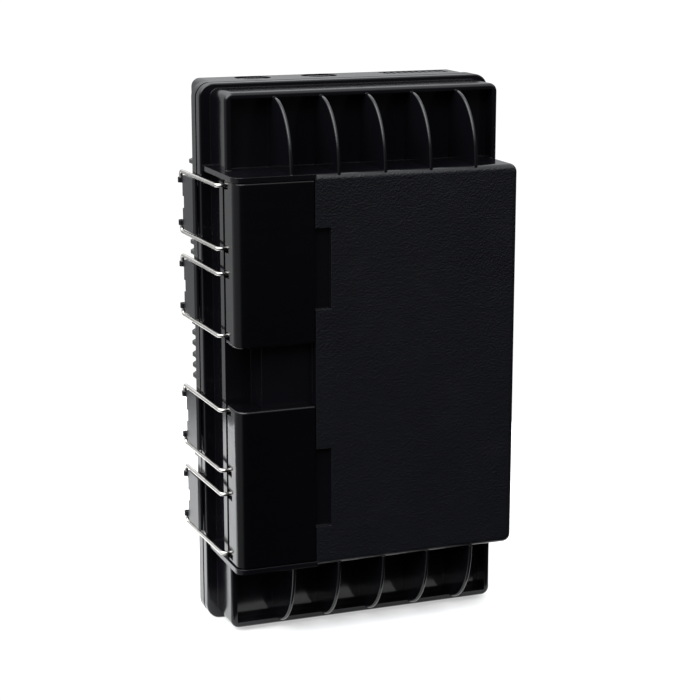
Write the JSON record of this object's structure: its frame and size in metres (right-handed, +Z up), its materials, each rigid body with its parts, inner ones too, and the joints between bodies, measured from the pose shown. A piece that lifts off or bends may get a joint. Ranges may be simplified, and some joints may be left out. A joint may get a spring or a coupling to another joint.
{
  "type": "cable splice enclosure",
  "caption": "Tall black two-shell equipment enclosure with ribbed ends, a grained front panel, wire latches down one side, top cable ports and swinging splice trays inside.",
  "frame": {"origin": "middle of the enclosure's bottom, on the surface that it stands on", "axes": "+Z up along the long side, -Y out of the cover's front, +Y out of the flat back, latches on -X and hinge on +X"},
  "size_m": [0.2648, 0.136, 0.45],
  "materials": {
    "shell_gloss": "satin-gloss black moulded plastic",
    "cover_black": "black moulded plastic, glossy rims and a fine leather grain on the panel",
    "guard_gloss": "high-gloss black plastic",
    "lever_black": "satin black plastic",
    "steel_wire": "bright drawn stainless wire",
    "pin_steel": "plain stainless pin",
    "seal_rubber": "soft black silicone",
    "insert_brass": "turned brass",
    "plate_zinc": "zinc-plated sheet",
    "screw_steel": "zinc-plated screws",
    "clamp_grey": "grey nylon",
    "tray_white": "off-white moulded plastic",
    "holder_grey": "grey rubber",
    "lid_clear": "clear polycarbonate",
    "adapter_green": "green plastic",
    "cap_white": "white soft plastic"
  },
  "bodies": {
    "shell": {"rear_shell": "shell_gloss", "perimeter_gasket": "seal_rubber", "upper_hinge_pin": "pin_steel", "lower_hinge_pin": "pin_steel", "left_port_grommet": "seal_rubber", "right_port_grommet": "seal_rubber", "drop_cable_comb": "seal_rubber", "wall_inserts": "insert_brass", "mounting_plate": "plate_zinc", "plate_screws": "screw_steel", "left_cable_clamp": "clamp_grey", "right_cable_clamp": "clamp_grey", "clamp_screws": "screw_steel", "ground_stud": "insert_brass", "ground_nut": "insert_brass", "tray_bracket": "plate_zinc", "tray_pins": "pin_steel", "adapter_panel": "plate_zinc", "fibre_adapters": "adapter_green", "adapter_dust_caps": "cap_white"},
    "cover": {"front_cover": "cover_black", "upper_latch_guard": "guard_gloss", "lower_latch_guard": "guard_gloss"},
    "bail_1": {"bail_wire_1": "steel_wire"},
    "lever_1": {"latch_lever_1": "lever_black"},
    "bail_2": {"bail_wire_2": "steel_wire"},
    "lever_2": {"latch_lever_2": "lever_black"},
    "bail_3": {"bail_wire_3": "steel_wire"},
    "lever_3": {"latch_lever_3": "lever_black"},
    "bail_4": {"bail_wire_4": "steel_wire"},
    "lever_4": {"latch_lever_4": "lever_black"},
    "tray_1": {"splice_tray_1": "tray_white", "splice_holder_1": "holder_grey"},
    "tray_2": {"splice_tray_2": "tray_white", "splice_holder_2": "holder_grey"},
    "tray_3": {"splice_tray_3": "tray_white", "splice_holder_3": "holder_grey", "tray_lid": "lid_clear"}
  },
  "joints": [
    {"name": "cover_hinge", "type": "hinge", "parent": "shell", "child": "cover", "pos_m": [0.1282, 0.023, 0.225], "axis": [0, 0, 1], "range_deg": [0, 110]},
    {"name": "bail_1_swing", "type": "hinge", "parent": "cover", "child": "bail_1", "pos_m": [-0.112, -0.0365, 0.3505], "axis": [0, 0, 1], "range_deg": [0, 35]},
    {"name": "lever_1_flip", "type": "hinge", "parent": "bail_1", "child": "lever_1", "pos_m": [-0.1298, 0.056, 0.3505], "axis": [0, 0, -1], "range_deg": [0, 75]},
    {"name": "bail_2_swing", "type": "hinge", "parent": "cover", "child": "bail_2", "pos_m": [-0.112, -0.0365, 0.2805], "axis": [0, 0, 1], "range_deg": [0, 35]},
    {"name": "lever_2_flip", "type": "hinge", "parent": "bail_2", "child": "lever_2", "pos_m": [-0.1298, 0.056, 0.2805], "axis": [0, 0, -1], "range_deg": [0, 75]},
    {"name": "bail_3_swing", "type": "hinge", "parent": "cover", "child": "bail_3", "pos_m": [-0.112, -0.0365, 0.1695], "axis": [0, 0, 1], "range_deg": [0, 35]},
    {"name": "lever_3_flip", "type": "hinge", "parent": "bail_3", "child": "lever_3", "pos_m": [-0.1298, 0.056, 0.1695], "axis": [0, 0, -1], "range_deg": [0, 75]},
    {"name": "bail_4_swing", "type": "hinge", "parent": "cover", "child": "bail_4", "pos_m": [-0.112, -0.0365, 0.0995], "axis": [0, 0, 1], "range_deg": [0, 35]},
    {"name": "lever_4_flip", "type": "hinge", "parent": "bail_4", "child": "lever_4", "pos_m": [-0.1298, 0.056, 0.0995], "axis": [0, 0, -1], "range_deg": [0, 75]},
    {"name": "tray_1_swing", "type": "hinge", "parent": "shell", "child": "tray_1", "pos_m": [0.088, 0.037, 0.225], "axis": [0, 0, 1], "range_deg": [0, 20]},
    {"name": "tray_2_swing", "type": "hinge", "parent": "shell", "child": "tray_2", "pos_m": [0.088, 0.025, 0.225], "axis": [0, 0, 1], "range_deg": [0, 40]},
    {"name": "tray_3_swing", "type": "hinge", "parent": "shell", "child": "tray_3", "pos_m": [0.088, 0.013, 0.225], "axis": [0, 0, 1], "range_deg": [0, 89]}
  ],
  "couplings": [
    {"joint": "lever_1_flip", "follows": "bail_1_swing", "ratio": 2},
    {"joint": "lever_2_flip", "follows": "bail_2_swing", "ratio": 2},
    {"joint": "lever_3_flip", "follows": "bail_3_swing", "ratio": 2},
    {"joint": "lever_4_flip", "follows": "bail_4_swing", "ratio": 2},
    {"joint": "tray_1_swing", "follows": "cover_hinge", "ratio": 0.18},
    {"joint": "tray_2_swing", "follows": "cover_hinge", "ratio": 0.36},
    {"joint": "tray_3_swing", "follows": "cover_hinge", "ratio": 0.8}
  ]
}
